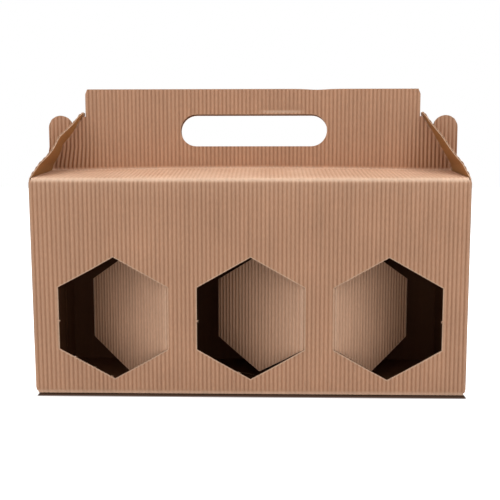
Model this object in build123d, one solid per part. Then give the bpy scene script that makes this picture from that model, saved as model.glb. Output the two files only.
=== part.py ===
from build123d import *
import os
from math import atan2, cos, floor, hypot, radians, sin, tan

# A carrying display for three jars, die-cut and folded from one piece of open-flute
# corrugated board, smooth side in and flutes out. Millimetres. The origin is on the
# table under the middle of the box, +X to the right as seen from the window side,
# +Y to the back and +Z up.

# The board: a smooth sheet with a wavy sheet glued to its outer face
sheet = 0.45
wave_height = 0.75
wave_pitch = 2.5
valley_skin = 0.1
glue_sink = 0.1
crest_land = 0.4
rest_ridges = (-48, 0, 48)
board = sheet + wave_height

# Folds: the sheet bends on its inner radius, and the flutes are crushed beside it
bend_radius = 0.6
fold_band = 1.6
fold_straight = 0.2
outer_bend = bend_radius + sheet

# The box, measured over the crests of its flutes
box_width = 258.0
box_depth = 84.0
crease_height = 129.6
wall_x = box_width / 2 - wave_height
wall_y = box_depth / 2 - wave_height
wall_foot = board + outer_bend + fold_straight
wall_top = crease_height - outer_bend - fold_straight

# The half-lids rise to a handle of two plies in the middle of the depth
lid_rise = 5.0
lid_side_clearance = 1.1
ply_gap = 0.4
ply_face = ply_gap / 2 + sheet
ply_foot = crease_height + lid_rise
handle_rise = 56.0
handle_top = crease_height + handle_rise
handle_inset = 23.1
handle_half_width = box_width / 2 - handle_inset
handle_corner_width = 1.4
handle_corner_height = 3.2

# The hand hole is a slot through both plies, a little to the right of their middle, and
# cut a little lower in the rear one
hole_shift = 1.1
hole_half_length = 46.5
hole_height = 20.2
hole_rise = 30.2
hole_middle = crease_height + hole_rise
rear_hole_drop = 0.8
rear_hole_shift = 0.4

# Ears at both ends of the plies, which hook through the slits of the side flaps
ear_overhang = 0.5
ear_reach = box_width / 2 + ear_overhang
ear_radius = 7.5
ear_root_rise = 6.8
ear_root = crease_height + ear_root_rise
ear_foot_rise = 11.4
ear_foot = crease_height + ear_foot_rise
notch_rise = 31.4
notch_floor = crease_height + notch_rise
ear_rise = 32.1
ear_middle = crease_height + ear_rise
shoulder_rise = 39.0
shoulder_height = crease_height + shoulder_rise

# Side flaps, each folded at the top of a side wall and bowed over the lid's raised edge
lower_lean = 12.0
upper_lean = 30.5
lower_leg = 9.0
upper_leg = 37.5
bow_radius = 7.5
flap_gap = 0.25
flap_straight_share = 0.86
flap_neck_share = 0.17
slit_start = 5.0
slit_end = 41.2
slit_clearance = 0.35
flap_clearance = 0.4

# Three hexagonal windows, each with its own cut-out still hanging on one upright fold
window_margin = 15.14
window_bridge = 17.38
window_count = 3
window_room = box_width - 2 * window_margin - (window_count - 1) * window_bridge
window_half_width = window_room / window_count / 2
window_pitch = 2 * window_half_width + window_bridge
window_middle = 46.6
window_half_height = 36.72
window_side_half = 18.56
window_kerf = 0.3
hinge_gap = 0.35
window_angles = (35.2, 34.4, 38.7)
hinge_sides = (1, 1, -1)

# The bottom: two outer flaps that hook together and two inner flaps glued onto them
seam_step = 9.0
seam_run = 14.0
seam_gap = 0.5
inner_flap_length = 52.0
inner_flap_taper = 14.0
lap_width = 20.0
lap_slope = 5.0
lap_gap = 0.4

overrun = 10.0


def wave_section(half_width, pressed=()):
    """Section across the flutes, crests up, with some crests pressed flat by number."""
    beside = floor((half_width - wave_pitch / 2) / wave_pitch)
    edge = (beside + 1 / 2) * wave_pitch
    points = [(-edge, -glue_sink), (-edge, valley_skin)]
    for number in range(-beside, beside + 1):
        middle = number * wave_pitch
        if number in pressed:
            points.append((middle - crest_land / 2, wave_height))
            points.append((middle + crest_land / 2, wave_height))
        else:
            points.append((middle, wave_height))
        points.append((middle + wave_pitch / 2, valley_skin))
    points.append((edge, -glue_sink))
    return make_face(Polyline(*points, close=True))


def flutes(origin, along, outward, half_width, length, pressed=()):
    """A straight field of flutes that starts at the origin and runs along one direction."""
    across = Vector(*outward).cross(Vector(*along))
    plane = Plane(origin=origin, x_dir=across, z_dir=along)
    return extrude(plane * wave_section(half_width, pressed), amount=length)


def sheet_section(*points, radius, side):
    """Section of the smooth sheet, given by its outer line, with every fold rounded."""
    line = Wire(FilletPolyline(*points, radius=radius).edges())
    return make_face(line.offset_2d(sheet, side=side, closed=True).edges())


def prism(points, plane, depth):
    """A straight-sided block on an outline, equally deep on both sides of its plane."""
    return extrude(plane * make_face(Polyline(*points, close=True)), amount=depth, both=True)


def mirrored(part):
    return mirror(part, about=Plane.YZ)


def walls():
    """The four walls as one ring with rounded corners, carried up at the two sides."""
    outer = RectangleRounded(2 * wall_x, 2 * wall_y, outer_bend)
    inner = RectangleRounded(2 * (wall_x - sheet), 2 * (wall_y - sheet), bend_radius)
    ring = Pos(0, 0, wall_foot) * extrude(outer - inner, amount=wall_top - wall_foot)
    side_run = 2 * (wall_y - outer_bend)
    side_rise = crease_height - flap_gap - wall_top
    side_edge = Pos(wall_x - sheet / 2, 0, wall_top) * Box(
        sheet, side_run, side_rise, align=(Align.CENTER, Align.CENTER, Align.MIN)
    )
    return ring + side_edge + mirrored(side_edge)


def wall_flutes():
    """Flutes on the outside of the four walls, short of every fold."""
    high = crease_height - fold_band
    front_low, side_low = wave_height + outer_bend, board + outer_bend
    front_half, side_half = wall_x - outer_bend, wall_y - outer_bend
    return [
        flutes((0, -wall_y, front_low), (0, 0, 1), (0, -1, 0), front_half, high - front_low),
        flutes((0, wall_y, front_low), (0, 0, 1), (0, 1, 0), front_half, high - front_low),
        flutes((wall_x, 0, side_low), (0, 0, 1), (1, 0, 0), side_half, high - side_low),
        flutes((-wall_x, 0, side_low), (0, 0, 1), (-1, 0, 0), side_half, high - side_low),
    ]


def bottom():
    """The folded-in bottom: an outer layer hooked along its seam and two inner flaps."""
    outer_layer = sheet_section(
        (-wall_y, wall_foot),
        (-wall_y, wave_height),
        (wall_y, wave_height),
        (wall_y, wall_foot),
        radius=outer_bend,
        side=Side.LEFT,
    )
    layer_half = wall_x - outer_bend
    layer = extrude(Plane.YZ * outer_layer, amount=layer_half, both=True)
    run = 2 * (wall_y - fold_band)
    start = (0, -run / 2, wave_height)
    layer += flutes(start, (0, 1, 0), (0, 0, -1), layer_half, run, rest_ridges)
    seam = Polyline(
        (-wall_x, seam_step),
        (-seam_run, seam_step),
        (seam_run, -seam_step),
        (wall_x, -seam_step),
    )
    gap = Wire(seam.edges()).offset_2d(seam_gap, side=Side.LEFT, closed=True)
    layer -= extrude(make_face(gap.edges()), amount=board)
    inner_layer = sheet_section(
        (wall_x, wall_foot),
        (wall_x, board),
        (wall_x - inner_flap_length, board),
        radius=outer_bend,
        side=Side.RIGHT,
    )
    flap_half = wall_y - outer_bend
    flap = extrude(Plane.XZ * inner_layer, amount=flap_half, both=True)
    tip_half = flap_half - inner_flap_taper
    tip_x = wall_x - inner_flap_length
    flap &= prism(
        [(wall_x, -flap_half), (tip_x, -tip_half), (tip_x, tip_half), (wall_x, flap_half)],
        Plane.XY,
        overrun,
    )
    return [layer, flap, mirrored(flap)]


def lid_half_width(distance):
    """Half the lid's width at a distance from the middle of the depth."""
    share = distance / wall_y
    narrow = wall_x - outer_bend - lid_side_clearance
    return narrow + share * lid_side_clearance


def flap_inner_x(height):
    """How far out the inner face of a resting side flap is, at a height on its upper leg."""
    knee_x = wall_x - lower_leg * sin(radians(lower_lean))
    knee_z = crease_height + lower_leg * cos(radians(lower_lean))
    outer_x = knee_x - (height - knee_z) * tan(radians(upper_lean))
    return outer_x - sheet / cos(radians(upper_lean))


def ply_outline():
    """Right half of a handle ply's outline, from the lid's fold to the top edge."""
    shoulder_x = flap_inner_x(shoulder_height) - flap_clearance
    notch_x = flap_inner_x(notch_floor) - flap_clearance
    ear_x = ear_reach - ear_radius
    low = Polyline(
        (0, ply_foot),
        (lid_half_width(0), ply_foot),
        (lid_half_width(0), ear_root),
        (ear_reach, ear_foot),
        (ear_reach, ear_middle),
    )
    ear = CenterArc((ear_x, ear_middle), ear_radius, 0, 180)
    high = Polyline(
        (ear_x - ear_radius, ear_middle),
        (ear_x - ear_radius, notch_floor),
        (notch_x, notch_floor),
        (shoulder_x, shoulder_height),
        (handle_half_width, shoulder_height),
        (handle_half_width, handle_top - handle_corner_height),
        (handle_half_width - handle_corner_width, handle_top),
        (0, handle_top),
        (0, ply_foot),
    )
    return make_face([*low.edges(), *ear.edges(), *high.edges()])


def half_lid():
    """The front half-lid and its handle ply, in one folded strip with flutes outside."""
    section = sheet_section(
        (-wall_y, wall_top),
        (-wall_y, crease_height),
        (-ply_face, ply_foot),
        (-ply_face, handle_top),
        radius=(outer_bend, bend_radius),
        side=Side.RIGHT,
    )
    strip = extrude(Plane.YZ * section, amount=ear_reach, both=True)
    run = wall_y - ply_face
    slope = (0, run / hypot(run, lid_rise), lid_rise / hypot(run, lid_rise))
    normal = (0, -slope[2], slope[1])
    lid_start = (0, -wall_y + fold_band * slope[1], crease_height + fold_band * slope[2])
    lid_run = hypot(run, lid_rise) - 2 * fold_band
    strip += flutes(lid_start, slope, normal, wall_x - outer_bend, lid_run)
    ply_start = (0, -ply_face, ply_foot + fold_band)
    ply_run = handle_top - ply_foot - fold_band
    strip += flutes(ply_start, (0, 0, 1), (0, -1, 0), ear_reach, ply_run)
    wide, narrow = lid_half_width(wall_y), lid_half_width(0)
    lid_area = prism(
        [(-wide, -wall_y), (wide, -wall_y), (narrow, 0), (-narrow, 0)],
        Plane.XY.offset(crease_height),
        ear_root - crease_height,
    )
    ply_side = extrude(Plane.XZ * ply_outline(), amount=ply_face + wave_height)
    return strip & (lid_area + ply_side + mirrored(ply_side))


def hand_hole(drop, shift):
    """The slot through one ply, on its own side of the middle plane."""
    slot = SlotOverall(2 * hole_half_length, hole_height)
    return Plane.XZ * Pos(shift, hole_middle - drop) * extrude(slot, amount=overrun)


def glue_lap():
    """The strip of the back wall that is glued inside the left wall."""
    back = wall_y - sheet - bend_radius
    low, high = wall_foot, wall_top
    outline = [
        (back, low),
        (back, high),
        (back - lap_width, high - lap_slope),
        (back - lap_width, low + lap_slope),
    ]
    plane = Plane.YZ.offset(-wall_x + sheet)
    return extrude(plane * make_face(Polyline(*outline, close=True)), amount=valley_skin + sheet)


def glue_seam():
    """The cut edge of the left wall, which stops just short of the rear corner."""
    seam_y = wall_y - outer_bend
    return Pos(-wall_x, seam_y, wall_foot) * Box(
        2 * (sheet - glue_sink),
        lap_gap,
        crease_height - wall_foot,
        align=(Align.CENTER, Align.MAX, Align.MIN),
    )


def window_cut(middle_x, margin):
    """A block through the front wall on a window's outline, drawn in by a margin."""
    scale = 1 / cos(atan2(window_half_height - window_side_half, window_half_width))
    half = window_half_width - margin
    rise = (window_half_height - window_side_half) * margin / window_half_width
    top = window_half_height - margin * scale
    side = window_side_half + rise - margin * scale
    points = [(0, top), (half, side), (half, -side), (0, -top), (-half, -side), (-half, side)]
    shape = make_face(Polyline(*points, close=True))
    placed = Plane.XZ.offset(wall_y) * Pos(middle_x, window_middle) * shape
    return extrude(placed, amount=overrun, both=True)


def window_flap(front_wall, middle_x, hinge_side, angle):
    """The piece die-cut from a window, swung into the box about its upright fold."""
    hinge_x = middle_x + hinge_side * window_half_width
    fold = Pos(hinge_x, -wall_y, window_middle)
    flap = front_wall & window_cut(middle_x, window_kerf)
    flap -= fold * Box(2 * hinge_gap, 2 * overrun, 2 * window_half_height)
    flap -= fold * Box(
        2 * fold_band,
        overrun,
        2 * window_half_height,
        align=(Align.CENTER, Align.MAX, Align.CENTER),
    )
    axis = Axis((hinge_x, sheet - wall_y, 0), (0, 0, 1))
    return flap.rotate(axis, -hinge_side * angle)


def flap_outline():
    """A side flap laid flat: a wide foot, nearly straight cuts and a rounded tip."""
    foot = wall_y - outer_bend
    length = lower_leg + upper_leg
    neck = foot * flap_neck_share
    shoulder = length * flap_straight_share
    right = Polyline((0, 0), (foot, 0), (neck, shoulder))
    tip = ThreePointArc((neck, shoulder), (0, length), (-neck, shoulder))
    left = Polyline((-neck, shoulder), (-foot, 0), (0, 0))
    return make_face([*right.edges(), *tip.edges(), *left.edges()])


def side_flap():
    """The right side flap, with its slit for the ears, leaning in at rest."""
    low, high = radians(lower_lean), radians(upper_lean)
    knee = (wall_x - lower_leg * sin(low), 0, crease_height + lower_leg * cos(low))
    tip = (knee[0] - upper_leg * sin(high), 0, knee[2] + upper_leg * cos(high))
    along = Vector(-sin(low), 0, cos(low))
    start = Vector(wall_x, 0, crease_height) + along * flap_gap
    band_end = Vector(wall_x, 0, crease_height) + along * fold_band
    half = wall_y - outer_bend
    bare = Plane(origin=start, x_dir=(0, -1, 0), z_dir=along)
    bare_sheet = Rectangle(2 * half, sheet, align=(Align.CENTER, Align.MIN))
    inward = bare * Pos(0, -sheet) * bare_sheet
    path = Wire(FilletPolyline(tuple(start), knee, tip, radius=bow_radius).edges())
    flap = sweep(inward, path=path)
    ridged = Plane(origin=band_end, x_dir=(0, -1, 0), z_dir=along)
    wave_path = Wire(FilletPolyline(tuple(band_end), knee, tip, radius=bow_radius).edges())
    flap += sweep(ridged * wave_section(half), path=wave_path)
    slant = Plane(
        origin=(wall_x, 0, crease_height),
        x_dir=(0, 1, 0),
        z_dir=(cos(high), 0, sin(high)),
    )
    flap &= extrude(slant * flap_outline(), amount=2 * overrun, both=True)
    slit_half = ply_gap / 2 + board + slit_clearance
    slit = Pos(0, (slit_start + slit_end) / 2) * Rectangle(2 * slit_half, slit_end - slit_start)
    return flap - extrude(slant * slit, amount=2 * overrun, both=True)


def build():
    """All sub-parts by name: the folded carton and the five flaps that swing."""
    wall_ring = walls()
    front_flutes, *other_flutes = wall_flutes()
    front_wall = wall_ring + front_flutes
    windows = []
    flaps = {}
    names = ("left_window_flap", "middle_window_flap", "right_window_flap")
    for place, name in enumerate(names):
        middle_x = (place - 1) * window_pitch
        windows.append(window_cut(middle_x, 0))
        side, angle = hinge_sides[place], window_angles[place]
        flaps[name] = window_flap(front_wall, middle_x, side, angle)
    carton = front_wall - windows
    carton += other_flutes
    carton -= glue_seam()
    carton += glue_lap()
    carton += bottom()
    front_half = half_lid()
    front_top = front_half - hand_hole(0, hole_shift)
    rear_hole = hand_hole(rear_hole_drop, -hole_shift - rear_hole_shift)
    back_top = (front_half - rear_hole).rotate(Axis.Z, 180)
    carton += [front_top, back_top]
    right = side_flap()
    return {
        "carton": carton,
        "left_side_flap": mirrored(right),
        "right_side_flap": right,
        **flaps,
    }


os.makedirs("parts", exist_ok=True)
for node, part in build().items():
    solids = part.solids()
    print(node, len(solids), "solid", round(sum(s.volume for s in solids), 1), "mm3")
    export_step(part, f"parts/{node}.step")
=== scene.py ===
# %% [markdown]
# # A corrugated jar display
# A carrying display for three jars, die-cut and folded from one sheet of open-flute board.
# Open-flute board is a smooth sheet with a wavy sheet glued to its outer face, and nothing
# over the waves. The whole look of the object comes from those waves: they catch the light
# in thin lines, they are crushed at every fold, and at each cut edge their ends show.
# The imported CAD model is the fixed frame. The pieces made here stand in its places.

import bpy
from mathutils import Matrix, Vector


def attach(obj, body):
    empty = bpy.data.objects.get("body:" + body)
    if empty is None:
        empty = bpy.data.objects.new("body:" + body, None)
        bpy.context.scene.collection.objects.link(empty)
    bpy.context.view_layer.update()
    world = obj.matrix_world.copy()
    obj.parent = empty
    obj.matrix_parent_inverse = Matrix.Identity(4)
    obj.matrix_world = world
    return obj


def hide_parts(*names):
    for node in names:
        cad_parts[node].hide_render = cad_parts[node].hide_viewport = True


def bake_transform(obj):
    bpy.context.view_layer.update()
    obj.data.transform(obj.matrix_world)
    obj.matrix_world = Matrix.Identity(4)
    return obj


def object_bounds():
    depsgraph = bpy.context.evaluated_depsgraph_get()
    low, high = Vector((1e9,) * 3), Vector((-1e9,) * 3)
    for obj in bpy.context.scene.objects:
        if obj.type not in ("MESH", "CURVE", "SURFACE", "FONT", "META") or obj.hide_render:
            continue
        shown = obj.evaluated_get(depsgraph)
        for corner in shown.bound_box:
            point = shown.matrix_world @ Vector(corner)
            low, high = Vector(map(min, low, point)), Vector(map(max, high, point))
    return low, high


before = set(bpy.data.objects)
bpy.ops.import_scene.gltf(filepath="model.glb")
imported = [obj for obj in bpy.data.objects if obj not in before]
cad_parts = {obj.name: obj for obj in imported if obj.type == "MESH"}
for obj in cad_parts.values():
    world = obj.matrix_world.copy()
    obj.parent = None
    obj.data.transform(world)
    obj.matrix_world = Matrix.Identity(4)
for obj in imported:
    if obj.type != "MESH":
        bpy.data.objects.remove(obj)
cad_low, cad_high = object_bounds()
print("frame box", [round(v, 4) for v in (*cad_low, *cad_high)])

# %% [markdown]
# ## Sizes
# All lengths are written in millimetres, as on a die maker's drawing, and turned into
# Blender's metres at the last step. The outer sizes come from the frame's own box. The
# board itself needs few numbers: the length and height of a wave, the thickness of its
# papers, and how tightly it bends at a fold.

# %% Tools and sizes
import cmath
import math
import random

import bpy
from mathutils import Matrix, Vector, noise

MM = 0.001
# A wave's length and height, and the height of its sheet in a valley.
PITCH, WAVE_HEIGHT, WAVE_SKIN = 2.5, 0.75, 0.06
# The smooth sheet as the frame has it, and the smooth and the wavy sheet as drawn here.
SHEET, LINER, WAVE_SHEET = 0.45, 0.4, 0.18
BOARD = WAVE_HEIGHT + SHEET
# Bend radii of the walls' folds, of the two lid creases and of the fold at the handle's foot.
BEND, CREASE_BEND, INNER_BEND = 1.05, 1.9, 0.6
# How far a fold crushes the waves beside it, and half the gap between the handle's plies.
CRUSH_BAND, PLY_GAP = 1.6, 0.2
# How far the ears reach past the walls, and the heights from lid crease to top and to handle.
EAR_PAST_WALL, CREASE_TO_TOP, LID_RISE = 0.5, 56.0, 5.0

ear_reach = cad_high.x / MM
wall_x = ear_reach - EAR_PAST_WALL - WAVE_HEIGHT
wall_y = cad_high.y / MM - WAVE_HEIGHT
handle_top = cad_high.z / MM
crease_height = handle_top - CREASE_TO_TOP
handle_foot = crease_height + LID_RISE
print("front width over the liner", 2 * wall_x, "crease at", round(crease_height, 2))

# %% [markdown]
# ## A folded strip seen from its side
# Board is folded along straight lines, so each part of the box is one strip whose side view
# is a line with rounded bends. Complex numbers make such a line short to write: a step along
# the strip is a number, a bend turns it, and a quarter turn to the left of it points outwards.


# %% The folded line
def folded(points, radii):
    """Straight runs and bends as (start, length, first point, direction, bend per millimetre)."""
    corners = [complex(*point) for point in points]
    runs, along, here = [], 0.0, corners[0]
    for index, radius in enumerate(radii, 1):
        into = corners[index] - corners[index - 1]
        into /= abs(into)
        away = corners[index + 1] - corners[index]
        away /= abs(away)
        turn = cmath.phase(away / into)
        tangent = radius * math.tan(abs(turn) / 2)
        bend_start = corners[index] - into * tangent
        runs.append((along, abs(bend_start - here), here, into, 0.0))
        along += abs(bend_start - here)
        runs.append((along, radius * abs(turn), bend_start, into, turn / (radius * abs(turn))))
        along += radius * abs(turn)
        here = corners[index] + away * tangent
    away = corners[-1] - here
    runs.append((along, abs(away), here, away / abs(away), 0.0))
    return runs


def place(runs, along):
    """The point and the outward direction at a distance along the folded line."""
    run = runs[0]
    for candidate in runs:
        if candidate[0] <= along + 1e-9:
            run = candidate
    start, _, point, direction, bend = run
    step = along - start
    if bend == 0.0:
        return point + direction * step, direction * 1j
    swing = cmath.exp(1j * bend * step)
    return point + direction * (swing - 1) / (1j * bend), direction * swing * 1j


def folds(runs):
    """Distances along the line at which the middle of each bend lies."""
    return [start + length / 2 for start, length, _, _, bend in runs if bend]


square_corner = folded([(0, 0), (5, 0), (5, 5)], [BEND])
print("a square fold uses", round(square_corner[1][1], 2), "mm of board")

# %% [markdown]
# ## Cutting a panel column by column
# A wave 2.5 mm wide needs about eight points across, and the cut edges of windows and flaps
# must be sharp. A grid that is trimmed afterwards gets ragged there. So each column between
# two neighbouring lines is cut exactly where the outlines cross it, and the outlines' own
# corners add lines of their own. What is inside an odd number of outlines is board. A place
# on the flat panel is always written (u, v): u across the strip and v along it.


# %% The column cutter
def crossing_pairs(outlines, left, right):
    """Where the board starts and ends between two lines: pairs of (at left, at right)."""
    middle = (left + right) / 2
    crossings = []
    for outline in outlines:
        for (u1, v1), (u2, v2) in zip(outline, outline[1:] + outline[:1]):
            if min(u1, u2) < middle < max(u1, u2):
                slope = (v2 - v1) / (u2 - u1)
                crossings.append((v1 + slope * (left - u1), v1 + slope * (right - u1)))
    crossings.sort(key=sum)
    return list(zip(crossings[::2], crossings[1::2]))


def trimmed(polygon, level, keep):
    """The part of a convex polygon above (keep 1) or below (keep -1) a level."""
    kept = []
    for (u1, v1), (u2, v2) in zip(polygon, polygon[1:] + polygon[:1]):
        inside1, inside2 = keep * (v1 - level) >= -1e-9, keep * (v2 - level) >= -1e-9
        if inside1:
            kept.append((u1, v1))
        if inside1 != inside2:
            share = (level - v1) / (v2 - v1)
            kept.append((u1 + share * (u2 - u1), level))
    return kept


def column_lines(outlines, spacing):
    """Upright cutting lines: the outlines' corners, and regular ones that keep off them."""
    corners = sorted({round(u, 4) for outline in outlines for u, _ in outline})
    lines = list(corners)
    for number in range(math.ceil(corners[0] / spacing), math.floor(corners[-1] / spacing) + 1):
        regular = number * spacing
        if min(abs(regular - corner) for corner in corners) > 0.12 * min(spacing, 1.0):
            lines.append(regular)
    return sorted(lines)


def cut_panel(outlines, spacing, levels):
    """Points and faces of a flat panel, in the panel's own two directions."""
    lines = column_lines(outlines, spacing)
    points, faces = {}, []
    for left, right in zip(lines, lines[1:]):
        for (low_left, low_right), (high_left, high_right) in crossing_pairs(outlines, left, right):
            whole = [(left, low_left), (right, low_right), (right, high_right), (left, high_left)]
            bottom, top = min(low_left, low_right), max(high_left, high_right)
            inner = [level for level in levels if bottom + 1e-6 < level < top - 1e-6]
            for low, high in zip([bottom] + inner, inner + [top]):
                cell = trimmed(trimmed(whole, low, 1), high, -1)
                face = []
                for u, v in cell:
                    key = (round(u, 4), round(v, 4))
                    number = points.setdefault(key, len(points))
                    if number not in face:
                        face.append(number)
                if len(face) > 2:
                    faces.append(face)
    return list(points), faces


test_square = [(0, 0), (PITCH, 0), (PITCH, PITCH), (0, PITCH)]
print("faces over one wave", len(cut_panel([test_square], PITCH / 8, [])[1]))

# %% [markdown]
# ## Joining nodes
# A finish in Blender is a graph of nodes, and many of them do one small sum. A helper adds
# such a node and fills its inputs: with a link where the value comes from another node, and
# with a fixed number or vector otherwise.


# %% Nodes that do a sum
def sum_node(tree, kind, operation, values):
    """A maths node, its inputs filled with other nodes' outputs or with fixed values."""
    node = tree.nodes.new(kind)
    node.operation = operation
    for socket, value in zip(node.inputs, values):
        if isinstance(value, bpy.types.NodeSocket):
            tree.links.new(value, socket)
        else:
            socket.default_value = value
    return node


def number_sum(tree, operation, *values):
    """The result of a sum of numbers."""
    return sum_node(tree, "ShaderNodeMath", operation, values).outputs["Value"]


def vector_sum(tree, operation, *values):
    """The result of a sum of vectors, which is a number only for a length."""
    node = sum_node(tree, "ShaderNodeVectorMath", operation, values)
    return node.outputs["Value" if operation == "LENGTH" else "Vector"]


print("helpers ready for sums of numbers and vectors")

# %% [markdown]
# ## The finish of kraft board
# Unbleached kraft is a warm brown with long paler and darker fibres and a soft unevenness
# from the pulp. It has hardly any gloss. The colour varies in three sizes of noise: clouds
# over centimetres, streaks along the flutes, and short fibres. The bump is small, because
# paper is smooth next to its own waves. Two painted values of the mesh mix in further
# colours: a painted shade of warm dark brown in the valleys, where light hardly reaches
# between two waves, and a pale tone where a fold has burst the fibres, which also carries
# painted light on the lid and near the folds of the window flaps, and a paler band along the
# front crease. Four finishes share this recipe: the wavy sheet, the smooth side of the side
# flaps, the inside of the box, which the photo shows darker and which gets a darker copy of
# the same paper as painted shade, and the pale torn fibres of a cut edge.

# %% Tones of kraft
# Each size of unevenness: its name, how its noise is stretched, its detail and its strength.
UNEVENNESS = (
    ("clouds", (28, 28, 28), 2.0, 0.06),
    ("streaks", (450, 450, 14), 3.0, 0.07),
    ("fibres", (1700, 1700, 420), 4.0, 0.09),
)
# The colour of the valleys is a painted shade between the waves. The pale colour is that of burst
# fibres, and also painted light on the lid and near the folds of the window flaps.
RUBBED_AND_LIT_COLOUR, RUBBED_AND_LIT_SHARE, VALLEY_SHADE_SHARE = (0.76, 0.52, 0.37), 0.75, 0.5


def uneven_tone(tree, spot, contrast):
    """A factor round one that makes the colour uneven, and the noise of its finest layer."""
    factor = None
    for label, stretch, detail, amount in UNEVENNESS:
        mapping = tree.nodes.new("ShaderNodeMapping")
        mapping.inputs["Scale"].default_value = stretch
        tree.links.new(spot, mapping.inputs["Vector"])
        texture = tree.nodes.new("ShaderNodeTexNoise")
        texture.label = label
        texture.inputs["Scale"].default_value = 1.0
        texture.inputs["Detail"].default_value = detail
        tree.links.new(mapping.outputs["Vector"], texture.inputs["Vector"])
        spread = tree.nodes.new("ShaderNodeMapRange")
        spread.inputs["From Min"].default_value = 0.25
        spread.inputs["From Max"].default_value = 0.75
        spread.inputs["To Min"].default_value = 1 - amount * contrast
        spread.inputs["To Max"].default_value = 1 + amount * contrast
        tree.links.new(texture.outputs["Fac"], spread.inputs["Value"])
        layer = spread.outputs[0]
        factor = layer if factor is None else number_sum(tree, "MULTIPLY", factor, layer)
    return factor, texture.outputs["Fac"]


def painted_tone(tree, colour, valley_shade_colour):
    """The sheet's colour, with a pale tone and a painted shade of the valleys mixed in where the mesh
    says so.
    """
    tone = None
    for attribute, full, other in (
        ("rubbed_and_lit", RUBBED_AND_LIT_SHARE, RUBBED_AND_LIT_COLOUR), ("valley_shade", VALLEY_SHADE_SHARE, valley_shade_colour),
    ):
        painted = tree.nodes.new("ShaderNodeAttribute")
        painted.attribute_name = attribute
        mixed = tree.nodes.new("ShaderNodeMix")
        mixed.data_type = "RGBA"
        share = number_sum(tree, "MULTIPLY", painted.outputs["Fac"], full)
        tree.links.new(share, mixed.inputs["Factor"])
        if tone is None:
            mixed.inputs["A"].default_value = (*colour, 1)
        else:
            tree.links.new(tone, mixed.inputs["A"])
        mixed.inputs["B"].default_value = (*other, 1)
        tone = mixed.outputs["Result"]
    return tone


print("sizes of unevenness", [layer[0] for layer in UNEVENNESS])

# %% [markdown]
# ## One recipe for four finishes
# The uneven factor scales the painted colour. The finest noise also drives the bump, so a
# pale fibre is a raised one too. All four finishes come from one function, and differ only
# in their colours, their contrast, their roughness and the strength of their bump.

# %% Kraft board material
PAPER_GLOSS, FIBRE_HEIGHT = 0.25, 0.00005


def kraft(name, colour, contrast, roughness, fibre_bump, valley_shade_colour):
    """A finish of paper: an uneven tone, hardly any gloss and a low bump of fibres."""
    material = bpy.data.materials.new(name)
    material.use_nodes = True
    tree = material.node_tree
    shader = tree.nodes["Principled BSDF"]
    shader.inputs["Roughness"].default_value = roughness
    shader.inputs["Specular IOR Level"].default_value = PAPER_GLOSS
    where = tree.nodes.new("ShaderNodeTexCoord")
    factor, fibres = uneven_tone(tree, where.outputs["Object"], contrast)
    tint = tree.nodes.new("ShaderNodeVectorMath")
    tint.operation = "SCALE"
    tree.links.new(painted_tone(tree, colour, valley_shade_colour), tint.inputs[0])
    tree.links.new(factor, tint.inputs["Scale"])
    tree.links.new(tint.outputs["Vector"], shader.inputs["Base Color"])
    bump = tree.nodes.new("ShaderNodeBump")
    bump.inputs["Strength"].default_value = fibre_bump
    bump.inputs["Distance"].default_value = FIBRE_HEIGHT
    tree.links.new(fibres, bump.inputs["Height"])
    tree.links.new(bump.outputs["Normal"], shader.inputs["Normal"])
    print("finish", name, len(tree.nodes), "nodes")
    return material


wavy_kraft = kraft("wavy_kraft", (0.575, 0.328, 0.208), 1.0, 0.78, 0.3, (0.31, 0.14, 0.062))
smooth_kraft = kraft("smooth_kraft", (0.38, 0.185, 0.066), 0.8, 0.7, 0.3, (0.3, 0.15, 0.05))
# The inside of the box gets a darker copy of the smooth side's paper, a painted shade.
shaded_inside_kraft = kraft("shaded_inside_kraft", (0.17, 0.068, 0.029), 0.8, 0.7, 0.3, (0.12, 0.05, 0.02))
cut_fibres = kraft("cut_fibres", (0.62, 0.41, 0.28), 1.4, 0.9, 0.8, (0.5, 0.3, 0.2))

# %% [markdown]
# ## From flat panel to folded board
# One helper makes every piece. It cuts the flat panel, lays it along the folded line, lifts
# each point by the height of the wave there, and turns the whole to the wall it belongs to.
# Solidify then gives the paper its thickness and a rim with the cut-edge finish, and Edge
# Split keeps that rim crisp while the waves stay smoothly shaded. Each piece rides on the
# body of the frame that it belongs to, except a fold strip, which belongs to two.

# %% Pieces of paper
CRISP_ANGLE = 55
# Widths of the columns that a wavy and a smooth sheet are cut in.
WAVE_COLUMN, SMOOTH_COLUMN, SMALL_COLUMN = PITCH / 8, 6.0, 4.0


def new_piece(name, corners, faces, finishes, body):
    """A mesh with its finishes, riding on a body unless it is to belong to two."""
    mesh = bpy.data.meshes.new(name)
    mesh.from_pydata(corners, [], faces)
    for finish in finishes:
        mesh.materials.append(finish)
    piece = bpy.data.objects.new(name, mesh)
    bpy.context.collection.objects.link(piece)
    if body:
        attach(piece, body)
    return piece


def thicken(piece, thickness, offset, rim_finish, back_finish=0):
    """Gives a sheet its thickness; the finishes of rim and back count on from its own."""
    solid = piece.modifiers.new("paper thickness", "SOLIDIFY")
    solid.thickness = thickness * MM
    solid.offset = offset
    solid.material_offset = back_finish
    solid.material_offset_rim = rim_finish


def shade_paper(piece):
    """Smooth shading on the sheet, with its rim kept crisp."""
    piece.data.shade_smooth()
    crisp = piece.modifiers.new("crisp rim", "EDGE_SPLIT")
    crisp.split_angle = math.radians(CRISP_ANGLE)


print("edges sharper than", CRISP_ANGLE, "degrees stay crisp")

# %% [markdown]
# ## The board maker
# Every point of every board goes through the same steps: its place on the folded line, its
# lift, its small settled shift, the turn to its wall and, on a window flap, the swing about
# its fold. The painted values go onto the mesh as attributes, which the finish reads.


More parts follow.
